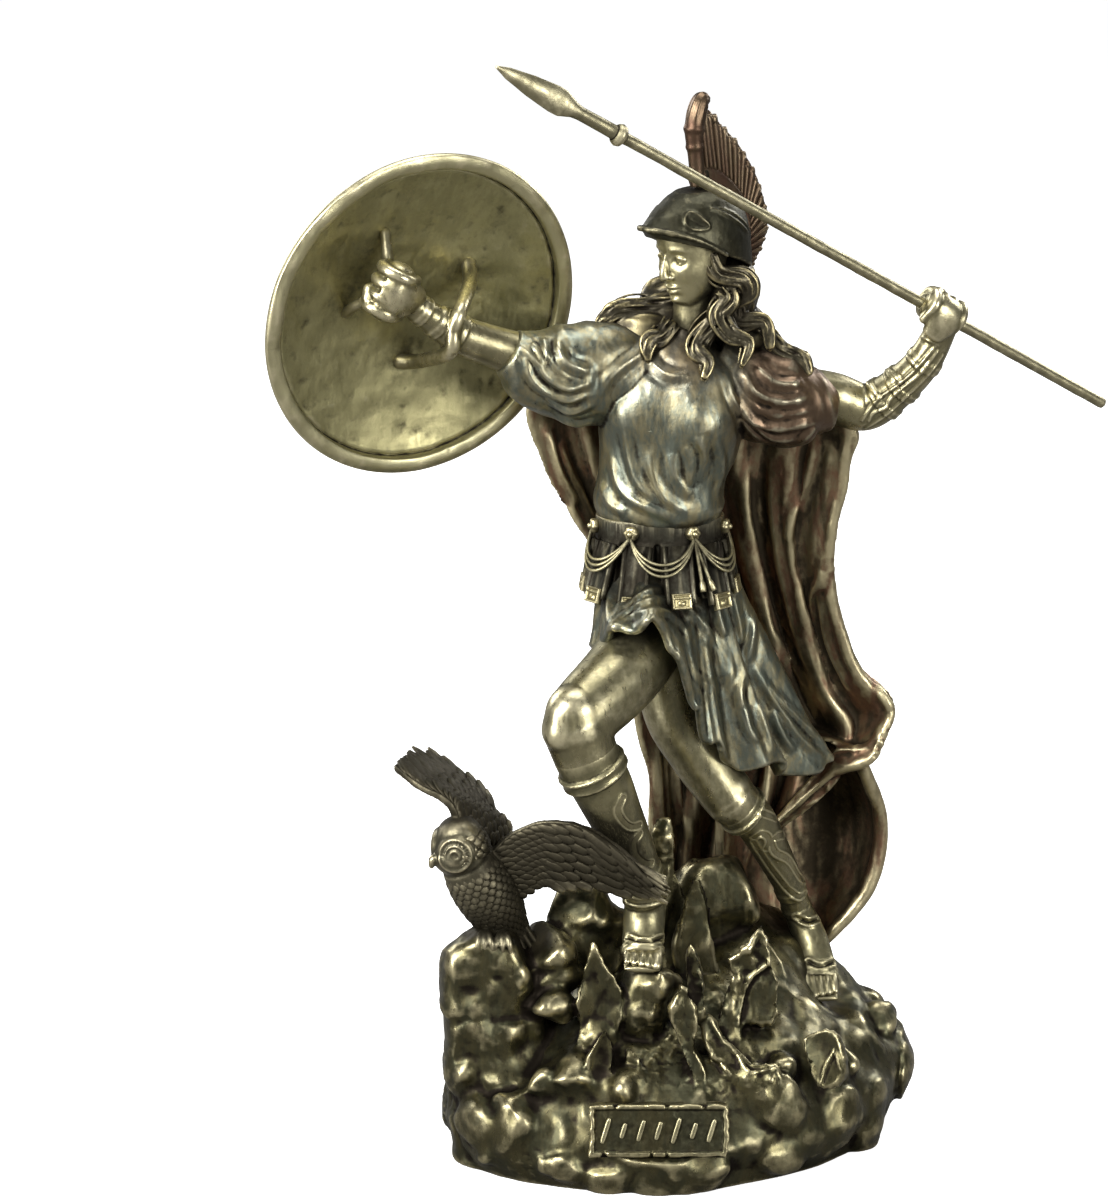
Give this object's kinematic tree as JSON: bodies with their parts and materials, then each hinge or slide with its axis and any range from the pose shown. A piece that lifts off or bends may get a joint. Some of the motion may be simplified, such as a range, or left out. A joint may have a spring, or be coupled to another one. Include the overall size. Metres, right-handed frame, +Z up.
{
  "type": "statue",
  "caption": "Cast statue of a helmeted goddess striding over a rock plinth, with a perched owl, a round shield on the arm and a levelled spear.",
  "frame": {"origin": "middle of the plinth's flat underside, on the ground", "axes": "+Z up, +X to the viewer's right, -Y towards the viewer who faces the plaque"},
  "size_m": [0.2322, 0.1173, 0.3089],
  "materials": {
    "bronze": "antiqued bronze with dark recesses, rubbed bright on the ridges, satin",
    "shield_bronze": "antiqued bronze, brighter on the rim, satin",
    "spear_bronze": "antiqued bronze, satin"
  },
  "bodies": {
    "root": {"statue": "bronze", "shield": "shield_bronze", "spear": "spear_bronze"}
  },
  "joints": []
}
